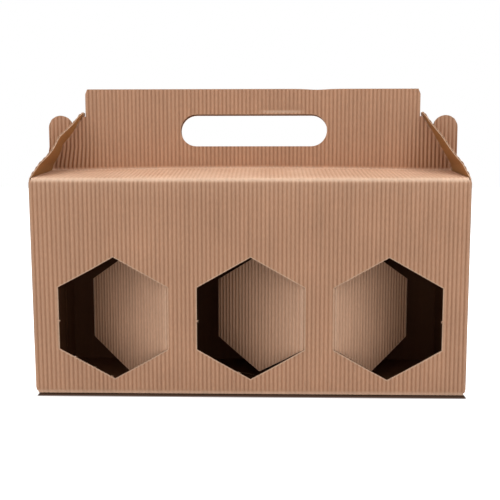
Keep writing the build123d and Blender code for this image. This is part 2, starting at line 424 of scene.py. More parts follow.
# %% The board maker
def stood(runs, u, v, height, turned, settle, swing):
    """One point of a strip in metres: folded, lifted, settled, turned to its wall and swung."""
    point, outward = place(runs, v)
    point += outward * height
    across, depth, rise = settle(u, v) if settle else (0.0, 0.0, 0.0)
    corner = turned @ Vector((u + across, point.real + depth, point.imag + rise)) * MM
    return swing @ corner if swing else corner


def board(
    name, body, runs, outlines, turn, lift, spacing, levels, thickness, finish,
    settle=None, swing=None,
):
    """A piece of board that follows a folded line; lift gives height, painted shade of the valleys and
    pale tone.
    """
    points, faces = cut_panel(outlines, spacing, levels)
    turned = Matrix.Rotation(math.radians(turn), 3, "Z")
    lifts = [lift(u, v) for u, v in points]
    corners = [
        stood(runs, u, v, height, turned, settle, swing)
        for (u, v), (height, _, _) in zip(points, lifts)
    ]
    piece = new_piece(name, corners, faces, (finish, cut_fibres), body)
    # The painted shade of the valleys and the pale tone, which is partly painted light, go onto the
    # mesh.
    for column, attribute in ((1, "valley_shade"), (2, "rubbed_and_lit")):
        painted = piece.data.attributes.new(attribute, "FLOAT", "POINT")
        painted.data.foreach_set("value", [values[column] for values in lifts])
    thicken(piece, thickness, -1, 1)
    shade_paper(piece)
    print(name, len(corners), "points", len(faces), "faces")
    return piece


# %% [markdown]
# ## The waves and their crushed bands
# Where the board is folded, the waves are pressed nearly flat for a millimetre or two, which
# shows as a plain pale line. The height of the wave is multiplied by a share that falls to a
# small value at each fold and comes back over the band.


# %% Wave height with crushed folds
# How much a wave's height varies, and how quickly across and along the sheet.
UNEVEN_SHARE, UNEVEN_ACROSS, UNEVEN_ALONG = 0.3, 0.31, 0.05


def wave(across):
    """One on the crests and nought in the valleys: broad crests and narrow valleys."""
    return abs(math.cos(math.pi * across / PITCH)) ** 1.2


def hump(distance, width, power=2):
    """One at no distance, and falling away to nought past the width."""
    return math.exp(-((distance / width) ** power))


def pressed(distance, band=CRUSH_BAND, rest=0.12):
    """The share of its height that a wave keeps at a distance from a fold."""
    return 1 - (1 - rest) * hump(distance, band, 4)


def patches(u, v, across, along, layer):
    """Soft noise over the sheet, from about minus one to one."""
    return noise.noise(Vector((u * across, v * along, layer)))


def wave_lift(fold_places, extra=None, tone=None):
    """A function that gives the waves' height along a strip, the painted shade of their valleys and
    their pale tone.
    """

    def lift(u, v):
        share = min([1.0] + [pressed(v - at) for at in fold_places])
        if extra:
            share *= extra(u, v)
        uneven = 1 - UNEVEN_SHARE * abs(patches(u, v, UNEVEN_ACROSS, UNEVEN_ALONG, 3.0))
        height = WAVE_SKIN + (WAVE_HEIGHT - WAVE_SKIN) * wave(u) * share * uneven
        deeper, paler = tone(u, v) if tone else (1.0, 0.0)
        return height, (1 - wave(u)) * share * deeper, 1 - share + paler

    return lift


def flat_lift(u, v):
    """The smooth sheet has no waves."""
    return 0.0, 0.0, 0.0


print("a wave keeps", round(pressed(0.0), 2), "of its height at a fold")

# %% [markdown]
# ## Lines across a strip
# A straight stretch of board needs few lines across it, and a fold needs many, so that its
# bend and its crushed band come out round. The lines are therefore listed round each fold
# and placed evenly in between.

# %% Lines across a strip
LINE_GAP, FOLD_CLEAR = 14.0, 4.0
FOLD_STEPS = (-3.2, -2.2, -1.5, -0.9, -0.45, 0, 0.45, 0.9, 1.5, 2.2, 3.2)


def strip_levels(runs):
    """Lines across a strip: wide apart on the flat and close together at each fold."""
    total = runs[-1][0] + runs[-1][1]
    levels = [number * LINE_GAP for number in range(1, int(total / LINE_GAP) + 1)]
    for at in folds(runs):
        levels = [level for level in levels if abs(level - at) > FOLD_CLEAR]
        levels += [at + step for step in FOLD_STEPS]
    return sorted(levels)


print("lines at each fold", len(FOLD_STEPS))

# %% [markdown]
# ## The front strip
# One strip makes half the bottom, the whole front with its windows, the front half-lid and
# the front ply of the handle. On the real blank it is cut in one go, so its waves run on from
# the bottom to the top of the handle. It is made the same way here: one line with three
# bends, and an outline in the flat with the windows and the hand hole as further outlines.

# %% Front strip, the folded line
# The bottom's seam: its step, the half width of its middle run, and the gap in it.
SEAM_STEP, SEAM_RUN, SEAM_GAP = 9.0, 14.0, 0.5
STRIP_START, LID_INSET = 12.0, 1.1
half_width = wall_x - BEND
lid_narrow = half_width - LID_INSET
ply_face = PLY_GAP + SHEET
front_runs = folded(
    [
        (STRIP_START, WAVE_HEIGHT),
        (-wall_y, WAVE_HEIGHT),
        (-wall_y, crease_height),
        (-ply_face, handle_foot),
        (-ply_face, handle_top),
    ],
    [BEND, CREASE_BEND, INNER_BEND],
)
wall_run, lid_run, ply_run = front_runs[2], front_runs[4], front_runs[6]
front_folds = folds(front_runs)
print("strip length", round(ply_run[0] + ply_run[1], 2))


def on_wall(height):
    """Distance along the strip of a height on the front wall."""
    return wall_run[0] + height - wall_run[2].imag


def on_lid(distance):
    """Distance along the strip of a place on the lid, given from the middle of the depth."""
    return lid_run[0] + (-distance - lid_run[2].real) / lid_run[3].real


def on_ply(height):
    """Distance along the strip of a height on the handle's ply."""
    return ply_run[0] + height - ply_run[2].imag


# %% [markdown]
# ## The outline of handle, ears and lid
# Each ply carries an ear at both ends. The ear hooks through the slit of the side flap, whose
# resting slope sets the notch between ear and handle. Round stretches are arcs, worked out
# by a loop, and one half of the outline is drawn and then mirrored.

# %% Outline of lid and ply
LOWER_LEAN, UPPER_LEAN = math.radians(12.0), math.radians(30.5)
LOWER_LEG, UPPER_LEG = 9.0, 37.5
EAR_RADIUS, NOTCH_PLAY = 7.5, 0.4
# The handle's top corner is cut off by so much across and down.
CORNER_ACROSS, CORNER_DOWN = 1.4, 3.2
LID_TAPER_END = 0.5
ear_root, ear_under, ear_middle = crease_height + 6.8, crease_height + 11.4, crease_height + 32.1
notch_floor, shoulder = crease_height + 31.4, crease_height + 39.0
handle_half = ear_reach - 23.6


def flap_inner_x(height):
    """How far out the inner face of a resting side flap is at a height."""
    knee_x = wall_x - LOWER_LEG * math.sin(LOWER_LEAN)
    knee_z = crease_height + LOWER_LEG * math.cos(LOWER_LEAN)
    return knee_x - (height - knee_z) * math.tan(UPPER_LEAN) - SHEET / math.cos(UPPER_LEAN)


def upper_side():
    """The right edge of lid and ply, from the front crease to the top of the handle."""
    ear = [
        (
            ear_reach - EAR_RADIUS + EAR_RADIUS * math.cos(math.radians(angle)),
            on_ply(ear_middle + EAR_RADIUS * math.sin(math.radians(angle))),
        )
        for angle in range(0, 181, 10)
    ]
    return [
        (half_width, on_lid(wall_y - BEND)),
        (lid_narrow, on_ply(handle_foot + LID_TAPER_END)),
        (lid_narrow, on_ply(ear_root)),
        (ear_reach, on_ply(ear_under)),
        *ear,
        (ear_reach - 2 * EAR_RADIUS, on_ply(notch_floor)),
        (flap_inner_x(notch_floor) - NOTCH_PLAY, on_ply(notch_floor)),
        (flap_inner_x(shoulder) - NOTCH_PLAY, on_ply(shoulder)),
        (handle_half, on_ply(shoulder)),
        (handle_half, on_ply(handle_top - CORNER_DOWN)),
        (handle_half - CORNER_ACROSS, on_ply(handle_top)),
    ]


def mirrored(edge):
    """The same edge on the other side, walked the other way."""
    return [(-u, v) for u, v in reversed(edge)]


def strip_outline():
    """The whole strip in the flat, with its stepped bottom edge."""
    upper, lower = (STRIP_START + step * SEAM_STEP + SEAM_GAP / 2 for step in (1, -1))
    foot = [
        (-half_width, lower), (-SEAM_RUN, lower), (SEAM_RUN, upper), (half_width, upper),
    ]
    right = upper_side()
    return foot + right + mirrored(right)


front_outline = strip_outline()
print("corners of the strip's outline", len(front_outline))

# %% [markdown]
# ## The hand hole
# The slot for the hand is the same in both plies, apart from a small shift, since plies
# that are folded to meet seldom match. The rear one lies a little lower.

# %% Hand hole
HOLE_LENGTH, HOLE_RADIUS, HOLE_SHIFT = 93.0, 10.1, 1.1
BACK_HOLE_DROP, BACK_HOLE_SHIFT = 0.8, -1.5
hole_middle = crease_height + 30.2


def hand_hole(drop, shift):
    """The slot for the hand, with round ends."""
    reach = HOLE_LENGTH / 2 - HOLE_RADIUS
    outline = []
    for side in (1, -1):
        for angle in range(-90, 91, 9):
            turn = math.radians(angle)
            across = shift + side * (reach + HOLE_RADIUS * math.cos(turn))
            height = hole_middle - drop + side * HOLE_RADIUS * math.sin(turn)
            outline.append((across, on_ply(height)))
    return outline


front_hole = hand_hole(0.0, HOLE_SHIFT)
back_hole = hand_hole(BACK_HOLE_DROP, BACK_HOLE_SHIFT)
print("corners of the hand hole", len(front_hole))

# %% [markdown]
# ## The hexagonal windows
# Three windows with upright sides. Each one's cut-out stays on the board by one side.

# %% Window outlines
# Half the width and half the height of a window, and half the length of its upright sides.
WINDOW_HALF_WIDTH, WINDOW_HALF_HEIGHT, WINDOW_SIDE_HALF = 32.16, 36.72, 18.56
WINDOW_MIDDLE, WINDOW_PITCH, FLAP_MARGIN = 46.6, 81.7, 0.3
# Name, place in the row, side of the fold (1 right, -1 left) and how far it stands open.
WINDOWS = (("left", -1, 1, 35.2), ("middle", 0, 1, 34.4), ("right", 1, -1, 38.7))


def hexagon(number, margin):
    """A window's outline along the strip, drawn in by a margin."""
    middle = number * WINDOW_PITCH
    rise = WINDOW_HALF_HEIGHT - WINDOW_SIDE_HALF
    lean = math.hypot(rise, WINDOW_HALF_WIDTH) / WINDOW_HALF_WIDTH
    half = WINDOW_HALF_WIDTH - margin
    top = WINDOW_HALF_HEIGHT - margin * lean
    side = WINDOW_SIDE_HALF + rise * margin / WINDOW_HALF_WIDTH - margin * lean
    shape = [(0, top), (-half, side), (-half, -side), (0, -top), (half, -side), (half, side)]
    return [(middle + u, on_wall(WINDOW_MIDDLE + v)) for u, v in shape]


windows = [hexagon(number, 0.0) for _, number, _, _ in WINDOWS]
print("windows", len(windows), "each", 2 * WINDOW_HALF_WIDTH, "mm wide")

# %% [markdown]
# ## How the soft board has settled
# A lid of soft board doesn't stay flat. The fold at the foot of the handle bows up a little
# in the middle, and the top edge of the handle dips where a hand has held it. The left front
# corner has spread outwards by about two millimetres, more at its top than at its foot, and
# the strip, the side wall and the side flap that meet there all take the same shift. The
# fold at the foot of the front sags, and so do the lower edges of the windows. Such small
# shifts are smooth functions of the place on the sheet, so no piece needs sculpting by hand.

# %% Smooth shifts of the lid, the handle, the left front corner and the window edges
# The corner's spread at its foot and the rest at its top, where it starts and how far it takes.
CORNER_SPREAD, CORNER_SPREAD_MORE, SPREAD_FROM, SPREAD_OVER = 1.4, 0.9, 92, 34
# How far the spread fades out along the bottom and up the ply.
BOTTOM_FADE, PLY_FADE = 40, 14
LID_BOW, LID_BOW_HALF = 1.5, 112
HANDLE_DIP, DIP_AT, DIP_WIDTH, DIP_DEPTH = 0.55, 41, 8, 12
WINDOW_DROOP, DROOP_AT, DROOP_WIDTH, DROOP_START = 0.65, 17, 15, 6
FOOT_SAG, SAG_UNDER, SAG_WIDTH = 0.45, 0.8, 2.2


def smooth_step(value):
    """Nought below nought, one above one, and smooth in between."""
    value = min(1.0, max(0.0, value))
    return value * value * (3 - 2 * value)


def corner_spread(height):
    """How far the left front corner has spread, in millimetres, at a height."""
    return CORNER_SPREAD + CORNER_SPREAD_MORE * min(1.0, height / crease_height)


def lid_settle(u, v):
    """The bow of the lid's fold and the dip of the handle's top edge."""
    if v < lid_run[0]:
        return 0.0
    bow = LID_BOW * max(0.0, 1 - (u / LID_BOW_HALF) ** 2)
    if v < ply_run[0]:
        share = ((v - lid_run[0]) / (ply_run[0] - lid_run[0])) ** 1.5
    else:
        share = max(0.0, 1 - (v - ply_run[0]) / PLY_FADE)
    near_top = max(0.0, (v - on_ply(handle_top - DIP_DEPTH)) / DIP_DEPTH)
    return bow * share - HANDLE_DIP * hump(u - DIP_AT, DIP_WIDTH) * near_top


def droop(v):
    """The lower edges of the windows lie a little lower than drawn."""
    height = v - wall_run[0]
    return WINDOW_DROOP * hump(height - DROOP_AT, DROOP_WIDTH) * smooth_step(height / DROOP_START)


def flap_droop(u, v):
    """The window flaps are cut along the same edges."""
    return 0.0, 0.0, -droop(v)


def front_settle(u, v):
    """Small shift (across, depth, height) of the front strip from its drawn place."""
    near_corner = smooth_step((-u - SPREAD_FROM) / SPREAD_OVER)
    if v < wall_run[0]:
        along = smooth_step((v - wall_run[0] + BOTTOM_FADE) / BOTTOM_FADE)
    else:
        along = smooth_step(1 - (v - ply_run[0]) / PLY_FADE)
    height = min(crease_height, max(0.0, v - wall_run[0]))
    sag = FOOT_SAG * hump(v - wall_run[0] + SAG_UNDER, SAG_WIDTH)
    rise = lid_settle(u, v) - sag - droop(v)
    return -corner_spread(height) * near_corner * along, 0.0, rise


def back_settle(u, v):
    """The back strip shares only the bow of the lid and the dip of the handle."""
    return 0.0, 0.0, lid_settle(-u, v)


print("corner spread", round(corner_spread(0), 2), "to", round(corner_spread(crease_height), 2))

# %% [markdown]
# ## Wear, painted light and painted shade of the strips
# The lid's waves are worn lower in patches, and a short stretch above the hand hole is
# crushed. The worn lid is also painted paler, partly the pale of crushed fibres and partly
# painted light on the face that looks up. The board is painted paler towards the front
# crease. The valleys get more painted shade low on the handle and at its ends, where less
# light comes in from the side.

# %% Wear and tone
# The height that the lid's waves keep, how much that varies, and how quickly.
LID_KEPT, LID_VARIES, PATCHES_ACROSS, PATCHES_ALONG = 0.58, 0.3, 0.05, 0.09
# The crushed stretch above the hand hole: its share, place, half width and half height.
HOLE_CRUSH, CRUSH_AT, CRUSH_HALF, CRUSH_HEIGHT = 0.8, 19, 13, 0.9
# More painted shade in the valleys low on the ply and at its ends, and the pale board beside the front
# crease.
LOW_SHADE, LOW_REACH, ENDS_SHADE, ENDS_FROM, ENDS_OVER = 0.2, 32, 1.3, 88, 20
CREASE_PALE, PALE_REACH = 0.25, 12
crushed_height = handle_top - 14.0


def lid_crush(u, v):
    """The waves of the lid are worn lower in patches."""
    # A lower share also paints the lid paler: partly the pale of crushed fibres, partly painted light
    # on this face that looks up.
    if not lid_run[0] < v < ply_run[0]:
        return 1.0
    return LID_KEPT + LID_VARIES * patches(u, v, PATCHES_ACROSS, PATCHES_ALONG, 5.0)


def front_crush(u, v):
    """The worn lid, and a short crushed stretch of waves just above the hand hole."""
    above = v - on_ply(crushed_height)
    near = hump(u - CRUSH_AT, CRUSH_HALF, 6) * hump(above, CRUSH_HEIGHT, 4)
    return (1 - HOLE_CRUSH * near) * lid_crush(u, v)


def strip_tone(u, v):
    """Paler towards the front crease, and more painted shade in the valleys low on the handle and at
    its ends.
    """
    low = max(0.0, 1 - abs(v - ply_run[0]) / LOW_REACH) if v > ply_run[0] else 0.0
    ends = smooth_step((abs(u) - ENDS_FROM) / ENDS_OVER)
    crease = max(0.0, 1 - abs(v - front_folds[1]) / PALE_REACH)
    return 1.0 + low * (LOW_SHADE + ENDS_SHADE * ends), CREASE_PALE * crease


print("crushed stretch at height", round(crushed_height, 1))

# %% [markdown]
# ## The front strip's two sheets
# The wavy sheet and the smooth sheet are two pieces on the same folded line. The wavy one
# needs eight columns to a wave, the smooth one a column every six millimetres. Both have the
# same lines across where the board is bent or has settled, so that they lie alike there. The
# wavy one has a few more, round the crushed stretch above the hand hole.

# %% Front strip, waves and liner
# Heights of further lines where the window edges droop, and steps of those round the crush.
DROOP_HEIGHTS = (9, 14, 20, 26, 33, 40)
HOLE_STEPS = (-21.9, -1.7, -1.0, -0.4, 0, 0.5, 1.2)
strip_lines = strip_levels(front_runs)
front_lines = sorted(strip_lines + [on_wall(height) for height in DROOP_HEIGHTS])
hole_lines = [on_ply(crushed_height + step) for step in HOLE_STEPS]
front_cuts = [front_outline, *windows, front_hole]
front_waves = board(
    "front_waves", "carton", front_runs, front_cuts, 0,
    wave_lift(front_folds, front_crush, strip_tone), WAVE_COLUMN, sorted(front_lines + hole_lines),
    WAVE_SHEET, wavy_kraft, front_settle,
)
board(
    "front_liner", "carton", front_runs, front_cuts, 0,
    flat_lift, SMOOTH_COLUMN, front_lines, LINER, shaded_inside_kraft, front_settle,
)
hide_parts("carton")

# %% [markdown]
# ## The back strip
# The same strip again, turned half round, with no windows and with its hand hole cut a
# little lower.

# %% Back strip
back_cuts = [front_outline, back_hole]
board(
    "back_waves", "carton", front_runs, back_cuts, 180,
    wave_lift(front_folds, lid_crush, strip_tone), WAVE_COLUMN, strip_lines,
    WAVE_SHEET, wavy_kraft, back_settle,
)
board(
    "back_liner", "carton", front_runs, back_cuts, 180,
    flat_lift, SMOOTH_COLUMN, strip_lines, LINER, shaded_inside_kraft, back_settle,
)

# %% [markdown]
# ## Side walls and the inner flaps of the bottom
# Each side wall carries an inner bottom flap below, which lies on the outer layer, and the
# side flap above, which is a moving piece of its own. The left wall's front end follows the
# spread corner.

# %% Side walls
INNER_FLAP, FLAP_TAPER, FLAP_GAP, LEFT_SEAM = 52.0, 14.0, 0.25, 0.4
WAVES_UNDER_BEND, TOP_STEPS = 0.6, (2.8, 2.0, 1.4, 0.8)
side_runs = folded(
    [(INNER_FLAP - wall_x, BOARD), (-wall_x, BOARD), (-wall_x, crease_height - FLAP_GAP)],
    [BEND],
)
side_half = wall_y - BEND
side_start, side_end = side_runs[1][0], side_runs[-1][0] + side_runs[-1][1]
side_lines = sorted(strip_levels(side_runs) + [side_end - step for step in TOP_STEPS])


def left_side_settle(u, v):
    """The left side's share of the spread, all at its front end and none at the rear."""
    share = smooth_step((u + side_half) / (2 * side_half))
    return 0.0, -corner_spread(v - side_start) * share, 0.0


for side, turn, seam in (("right", 90, 0.0), ("left", -90, LEFT_SEAM)):
    tip, rear = side_half - FLAP_TAPER, seam - side_half
    settled = left_side_settle if side == "left" else None
    flap_and_wall = [
        (-tip, 0.0), (tip, 0.0), (side_half, side_start), (side_half, side_end),
        (rear, side_end), (rear, side_start),
    ]
    wave_start = side_runs[2][0] - WAVES_UNDER_BEND
    wall_only = [
        (rear, wave_start), (side_half, wave_start), (side_half, side_end), (rear, side_end),
    ]
    board(
        f"{side}_wall_liner", "carton", side_runs, [flap_and_wall], turn, flat_lift,
        SMOOTH_COLUMN, side_lines, LINER, shaded_inside_kraft, settled,
    )
    board(
        f"{side}_wall_waves", "carton", side_runs, [wall_only], turn,
        wave_lift([folds(side_runs)[0], side_end]), WAVE_COLUMN, side_lines,
        WAVE_SHEET, wavy_kraft, settled,
    )

# %% [markdown]
# ## The glue lap
# The blank is one long strip round the box, so it has one glued joint. The rear wall ends in
# a lap with slanted ends, which is glued to the inside of the left wall.

# %% Glue lap
LAP_WIDTH, LAP_SLANT, LAP_THICKNESS = 20.0, 5.0, 0.55
LAP_FOOT, LAP_BELOW_CREASE, LAP_OFF_REAR, LAP_COLUMN = 2.5, 1.4, 0.35, 5.0
lap_face, lap_foot, lap_top = wall_x - SHEET, LAP_FOOT, crease_height - LAP_BELOW_CREASE
lap_line = folded([(-lap_face, 0.0), (-lap_face, crease_height)], [])
lap_rear = LAP_OFF_REAR - wall_y
lap_outline = [
    (lap_rear, lap_foot), (lap_rear + LAP_WIDTH, lap_foot + LAP_SLANT),
    (lap_rear + LAP_WIDTH, lap_top - LAP_SLANT), (lap_rear, lap_top),
]
lap = board(
    "glue_lap", "carton", lap_line, [lap_outline], -90, flat_lift, LAP_COLUMN,
    [30.0, 60.0, 90.0], LAP_THICKNESS, shaded_inside_kraft,
)
lap.modifiers["paper thickness"].material_offset_rim = 0

# %% [markdown]
# ## Upright corners
# The four upright folds run along the flutes, so one flute is pressed flat around the corner.
# Each is a small grid of its own, a quarter round in plan with the faint swell of that flute.

# %% Corners
CORNER_LIFT, CORNER_SWELL, CORNER_THICKNESS = 0.3, 0.08, 0.7
CORNER_STEPS, CORNER_ROWS = 8, 10


def corner_point(reach_u, reach_v, turn, share, z):
    """A point of a corner in metres, at a share of its quarter round and at a height."""
    angle = math.pi / 2 * share
    lifted = BEND + CORNER_LIFT + CORNER_SWELL * math.cos(4 * angle)
    x = reach_u + lifted * math.sin(angle)
    y = -(reach_v + lifted * math.cos(angle))
    spot = Matrix.Rotation(math.radians(turn), 3, "Z") @ Vector((x, y, z))
    if turn == 270:
        spot.x -= corner_spread(z)
    return spot * MM


corner_low, corner_high = BOARD + BEND, crease_height - BEND
for number, turn in enumerate((0, 90, 180, 270), 1):
    reaches = (half_width, side_half) if turn in (0, 180) else (side_half, half_width)
    points = [
        corner_point(
            *reaches, turn, step / CORNER_STEPS,
            corner_low + (corner_high - corner_low) * row / CORNER_ROWS,
        )
        for row in range(CORNER_ROWS + 1)
        for step in range(CORNER_STEPS + 1)
    ]
    row_length = CORNER_STEPS + 1
    firsts = [
        row * row_length + step for row in range(CORNER_ROWS) for step in range(CORNER_STEPS)
    ]
    faces = [(at, at + 1, at + row_length + 1, at + row_length) for at in firsts]
    corner = new_piece(
        f"corner_{number}", points, faces, (wavy_kraft, cut_fibres, shaded_inside_kraft), "carton"
    )
    thicken(corner, CORNER_THICKNESS, -1, 1, 2)
    shade_paper(corner)
print("corners made")

# %% [markdown]
# ## Side flaps
# Each side flap is folded at the top of a side wall. At rest it leans in over the ears of the
# handle, bowed at its knee. Its smooth side is the one seen from the front, and its slanted
# cut edge shows the ends of the flutes as fine teeth. Its outline tapers to a neck and ends
# in an arc, worked out by a loop. The lowest five millimetres are left to the fold strips
# in a later cell.

# %% Side flap, line and outline
KNEE_RADIUS, FLAP_FOOT = 7.5, 5.0
NECK_SHARE, STRAIGHT_SHARE, TIP_STEPS, TIP_BLUNT = 0.17, 0.86, 8, 0.02
SLIT_FROM, SLIT_TO, SLIT_PLAY = 5.2, 41.2, 0.35
flap_length = LOWER_LEG + UPPER_LEG
lower_way = complex(math.sin(LOWER_LEAN), math.cos(LOWER_LEAN))
upper_way = complex(math.sin(UPPER_LEAN), math.cos(UPPER_LEAN))
flap_fold = complex(-wall_x, crease_height)
knee = flap_fold + LOWER_LEG * lower_way
flap_tip = knee + UPPER_LEG * upper_way
flap_runs = folded([(p.real, p.imag) for p in (flap_fold, knee, flap_tip)], [KNEE_RADIUS])
knee_reach = LOWER_LEG * math.cos(UPPER_LEAN - LOWER_LEAN)


def on_flap(reach):
    """Distance along the bowed flap of a place given straight along its upper part."""
    if reach < knee_reach:
        return reach / math.cos(UPPER_LEAN - LOWER_LEAN)
    return LOWER_LEG + reach - knee_reach


neck, straight = side_half * NECK_SHARE, flap_length * STRAIGHT_SHARE


def flap_half(distance):
    """Half the flap's width, which tapers from its foot to its neck."""
    return side_half + (neck - side_half) * min(1.0, distance / straight)


tip_sagitta = flap_length - straight
tip_radius = (neck**2 + tip_sagitta**2) / (2 * tip_sagitta)
tip_angle = math.asin(neck / tip_radius)
knee_half = flap_half(knee_reach)
foot_half = side_half + (knee_half - side_half) * (FLAP_FOOT - FLAP_GAP) / (LOWER_LEG - FLAP_GAP)
flap_edge = [
    (foot_half, FLAP_FOOT), (knee_half, on_flap(knee_reach)), (neck, on_flap(straight)),
]
for number in range(1, TIP_STEPS):
    angle = tip_angle * (1 - number / TIP_STEPS)
    reach = flap_length - tip_radius + tip_radius * math.cos(angle)
    flap_edge.append((tip_radius * math.sin(angle), on_flap(reach)))
flap_outline = flap_edge + [(0.0, on_flap(flap_length) - TIP_BLUNT)] + mirrored(flap_edge)
slit_half = PLY_GAP + BOARD + SLIT_PLAY
slit_edge = [(slit_half, SLIT_FROM), (slit_half, on_flap(SLIT_TO))]
slit = slit_edge + mirrored(slit_edge)
knee_steps = (-2.4, -1.2, -0.6, 0, 0.6, 1.2, 2.4)
flap_lines = [*(LOWER_LEG + step for step in knee_steps), *range(14, 39, 3), 44]
print("flap length", flap_length, "neck", round(2 * neck, 1), "slit", round(2 * slit_half, 2))

# %% [markdown]
# ## The bow of the side flaps
# The free edges of a flap curl in. The left one, which hangs on the spread corner, curls
# more, bulges out at half its length and twists at its front edge. All of this is one smooth
# shift of each point across the sheet, so the wavy and the smooth sheet take it alike.

# %% Side flaps
FLAP_CURL, CURL_LENGTH, LEFT_CURL, SPREAD_FADE = 1.3, 28, 1.5, 34
FLAP_BULGE, BULGE_AT, BULGE_WIDTH = 1.8, 24, 5
FLAP_TWIST, TWIST_AT, TWIST_WIDTH = 2.0, 29, 7.5
TIP_TWIST, TIP_TWIST_OVER = 0.6, 8


def right_flap_settle(u, v):
    """The free edges of a flap curl in a little above its foot."""
    free = min(1.0, abs(u) / flap_half(v))
    return 0.0, FLAP_CURL * free**2 * math.sin(math.pi * min(1.0, v / CURL_LENGTH)), 0.0


def left_flap_settle(u, v):
    """The left flap's foot follows the spread corner, and it bulges at half its length."""
    share = smooth_step((u + side_half) / (2 * side_half)) * smooth_step(1 - v / SPREAD_FADE)
    curl = LEFT_CURL * right_flap_settle(u, v)[1]
    front = min(1.0, max(0.0, u / flap_half(v)))
    bulge = FLAP_BULGE * hump(v - BULGE_AT, BULGE_WIDTH)
    twist = FLAP_TWIST * hump(v - TWIST_AT, TWIST_WIDTH)
    twist += TIP_TWIST * smooth_step((v - SPREAD_FADE) / TIP_TWIST_OVER)
    outwards = bulge * (1 - front**2) + twist * front**2
    return 0.0, curl - corner_spread(crease_height) * share - outwards, 0.0


SIDE_FLAPS = (("right", 90, 1, right_flap_settle), ("left", -90, -1, left_flap_settle))
for side, turn, _, settled in SIDE_FLAPS:
    waves = board(
        f"{side}_flap_waves", f"{side}_side_flap", flap_runs, [flap_outline, slit], turn,
        wave_lift([0.0]), WAVE_COLUMN, flap_lines, WAVE_SHEET, wavy_kraft, settled,
    )
    board(
        f"{side}_flap_liner", f"{side}_side_flap", flap_runs, [flap_outline, slit], turn,
        flat_lift, SMALL_COLUMN, flap_lines, LINER, smooth_kraft, settled,
    )
    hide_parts(f"{side}_side_flap")

# %% [markdown]
# ## The folds of the side flaps
# Wall and flap are one sheet, so at the fold a strip runs from one to the other, crushed
# along the fold itself. It has a wavy and a smooth layer, as the board has.

# %% Fold strips of the side flaps
# The fold's place along the strip, how far the waves start below it, and their lift there.
FOLD_AT, FOLD_UNDER, LAP_LIFT = 4.0, 1.5, 0.06
FOLD_RADIUS, FOLD_REACH = 0.8, 8
# The blend starts a little under the fold and ends a little before the flap's foot.
fold_ends = (flap_fold - FOLD_AT * 1j, flap_fold, flap_fold + FOLD_REACH * lower_way)
fold_line = folded([(p.real, p.imag) for p in fold_ends], [FOLD_RADIUS])
fold_waves_lift = wave_lift([FOLD_AT])
fold_levels = [FOLD_AT + step for step in (-1.0, -0.5, 0, 0.3, 0.6, 1, 1.5, 2, 2.6, 3.3, 4, 4.5)]


def crushed_lift(u, v):
    """The waves of the fold, lying just over the wall where the strip laps it."""
    height, valley_shade, rubbed_and_lit = fold_waves_lift(u, v)
    over = LAP_LIFT * smooth_step((FOLD_AT + FLAP_FOOT - v) / FLAP_FOOT)
    return height + over, valley_shade, rubbed_and_lit


def fold_band(under):
    """The outline of a fold strip that starts a little under the fold."""
    edge = [
        (side_half, FOLD_AT - under), (side_half, FOLD_AT + FLAP_GAP),
        (foot_half, FOLD_AT + FLAP_FOOT),
    ]
    return edge + mirrored(edge)


def fold_settle(flap_settled):
    """A fold strip lies where the flap's foot lies."""
    return lambda u, v: flap_settled(u, max(0.0, v - FOLD_AT))


FOLD_LAYERS = (
    ("waves", FOLD_UNDER, crushed_lift, WAVE_COLUMN, WAVE_SHEET, wavy_kraft),
    ("liner", FLAP_GAP, flat_lift, SMALL_COLUMN, LINER, smooth_kraft),
)
for side, turn, sign, settled in SIDE_FLAPS:
    for layer, under, lift, across, thickness, finish in FOLD_LAYERS:
        strip = board(
            f"{side}_fold_{layer}", None, fold_line, [fold_band(under)], turn, lift, across,
            fold_levels, thickness, finish, fold_settle(settled),
        )
        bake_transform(strip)

# %% [markdown]
# ## Window flaps
# The cut-out of each window hangs on one upright fold and stands swung into the box, with its
# waves towards the viewer. It is cut flat in its window, on the same folded line as the
# front, and then swung open about its fold. Near the fold it gets painted light and little
# painted shade in its valleys, where the light of the window reaches it, and the painted
# shade gets deeper further in.

# %% Window flaps
FLAP_CRUSH_REST = 0.15
# The painted shade of the valleys at the fold and its growth inwards, the painted light far inside and
# how much more of it the fold gets.
VALLEY_AT_FOLD, VALLEY_MORE, PALE_INSIDE, PALE_MORE = 0.4, 2.0, 0.07, 0.35
flap_lines_on_wall = [on_wall(z) for z in (*range(9, 45, 3), 60, 75)]


def hinge_crush(hinge_x):
    """The waves beside an upright fold are pressed."""
    return lambda u, v: pressed(u - hinge_x, CRUSH_BAND, FLAP_CRUSH_REST)


def flap_light_and_shade(hinge_x):
    """More painted shade in the valleys and less painted light, the further a place is from the fold.
    """

    def tone(u, v):
        inwards = abs(u - hinge_x) / (2 * WINDOW_HALF_WIDTH)
        valley_shade = VALLEY_AT_FOLD + VALLEY_MORE * inwards**1.5
        return valley_shade, PALE_INSIDE + PALE_MORE * (1 - inwards)

    return tone


def flap_swing(hinge_x, hinge_side, angle):
    """The turn that opens a window flap about its upright fold."""
    pin = Vector((hinge_x, SHEET - wall_y, 0)) * MM
    opened = Matrix.Rotation(math.radians(-hinge_side * angle), 4, "Z")
    return Matrix.Translation(pin) @ opened @ Matrix.Translation(-pin)


